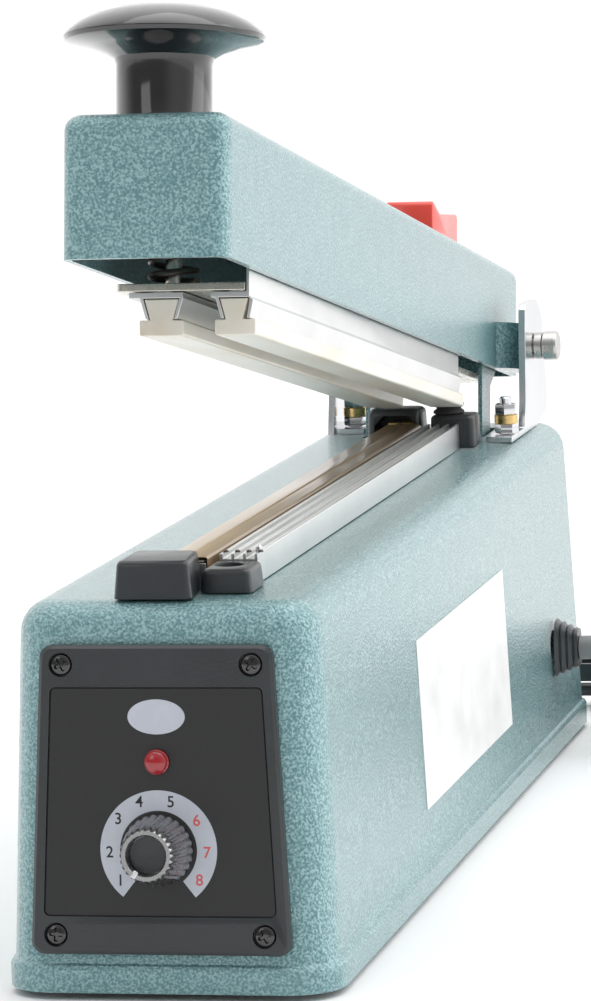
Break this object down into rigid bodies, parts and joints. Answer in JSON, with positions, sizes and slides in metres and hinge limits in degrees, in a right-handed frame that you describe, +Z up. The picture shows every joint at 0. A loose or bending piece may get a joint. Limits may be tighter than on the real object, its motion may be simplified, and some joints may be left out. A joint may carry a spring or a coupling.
{
  "type": "impulse heat sealer",
  "caption": "Hand-operated bench impulse heat sealer for plastic bags: hinged press arm over a heated sealing bar, sliding cutter, timer dial and mains lead.",
  "frame": {"origin": "middle of the machine's length and width at the table the rubber feet stand on, the mains lead left out", "axes": "+Z up; +X to the right of a person facing the control panel; -Y towards that person, so the arm's hinge is at +Y"},
  "size_m": [0.2092, 0.4875, 0.2662],
  "materials": {
    "black_bakelite": "polished",
    "black_plastic": "matt moulded",
    "black_rubber": "matt",
    "brass": "plain",
    "chrome_plate": "polished",
    "circuit_board": "green laminate",
    "coil_wrap": "wound copper under tape",
    "dark_steel": "blackened",
    "extruded_aluminium": "satin extrusion",
    "grey_cord": "PVC sheath",
    "hammertone_paint": "hammer-tone enamel",
    "insulation": "woven insulation",
    "knob_metal": "satin, knurled",
    "laminated_iron": "laminated",
    "nichrome": "resistance ribbon",
    "plain_steel": "plain",
    "printed_label": "printed film",
    "ptfe_cloth": "coated glass cloth",
    "red_lens": "translucent red",
    "red_plastic": "moulded",
    "silicone_rubber": "smooth",
    "zinc_plate": "zinc plated"
  },
  "bodies": {
    "base": {"base_housing": "hammertone_paint", "bottom_plate": "plain_steel", "bracket_bolt_left": "dark_steel", "bracket_bolt_right": "dark_steel", "circuit_board": "circuit_board", "cord_coil": "grey_cord", "cord_tail": "grey_cord", "element_clamp_front": "brass", "element_clamp_rear": "brass", "foot_front_left": "black_rubber", "foot_front_right": "black_rubber", "foot_rear_left": "black_rubber", "foot_rear_right": "black_rubber", "front_panel": "black_plastic", "front_rail_cap": "black_plastic", "front_terminal_cover": "black_plastic", "heating_element": "nichrome", "hinge_bracket_left": "chrome_plate", "hinge_bracket_right": "chrome_plate", "insulating_strip": "insulation", "legend_plate": "printed_label", "microswitch_body": "black_plastic", "panel_screw_1": "dark_steel", "panel_screw_2": "dark_steel", "panel_screw_3": "dark_steel", "panel_screw_4": "dark_steel", "pilot_lamp": "red_lens", "pivot_bolt": "plain_steel", "pivot_nut": "plain_steel", "pivot_spacer": "plain_steel", "plug": "black_plastic", "power_cord": "grey_cord", "ptfe_cover": "ptfe_cloth", "rear_bumper": "black_rubber", "rear_rail_cap": "black_plastic", "rear_terminal_cover": "black_plastic", "return_spring": "plain_steel", "ribbed_rail": "extruded_aluminium", "sealing_bar": "extruded_aluminium", "strain_relief": "black_plastic", "timer_body": "black_plastic", "transformer_coil": "coil_wrap", "transformer_core": "laminated_iron"},
    "arm": {"arm_shell": "hammertone_paint", "return_lever": "hammertone_paint", "handle_knob": "black_bakelite", "handle_screw": "plain_steel", "press_spring_front": "dark_steel", "press_spring_rear": "dark_steel"},
    "press": {"press_frame": "zinc_plate", "press_bar_left": "extruded_aluminium", "press_bar_right": "extruded_aluminium", "silicone_strip_left": "silicone_rubber", "silicone_strip_right": "silicone_rubber"},
    "cutter": {"cutter_grip": "red_plastic", "cutter_carriage": "black_plastic", "cutter_blade": "plain_steel"},
    "timer": {"timer_knob": "knob_metal", "timer_shaft": "plain_steel"},
    "switch": {"microswitch_lever": "plain_steel"}
  },
  "joints": [
    {"name": "arm_hinge", "type": "hinge", "parent": "base", "child": "arm", "pos_m": [0, 0.1943, 0.134], "axis": [1, 0, 0], "range_deg": [0, 10.3], "stiffness_Nm_per_rad": 6, "springref_deg": -34.38},
    {"name": "press_slide", "type": "slide", "parent": "arm", "child": "press", "axis": [0, 0.1788, 0.9839], "range_m": [0, 0.0068], "deforming": ["press_spring_front", "press_spring_rear"]},
    {"name": "cutter_slide", "type": "slide", "parent": "arm", "child": "cutter", "axis": [0, -0.9826, 0.1855], "range_m": [0, 0.315]},
    {"name": "timer_turn", "type": "hinge", "parent": "base", "child": "timer", "pos_m": [-0.0011, -0.21001, 0.04085], "axis": [0, 0.9963, -0.0864], "range_deg": [0, 256]},
    {"name": "switch_leaf", "type": "hinge", "parent": "base", "child": "switch", "pos_m": [0, 0.1879, 0.073], "axis": [1, 0, 0], "range_deg": [0, 13.2]}
  ],
  "couplings": [
    {"joint": "press_slide", "follows": "arm_hinge", "m_per_rad": 0.03727},
    {"joint": "switch_leaf", "follows": "arm_hinge", "ratio": 1.2621}
  ]
}
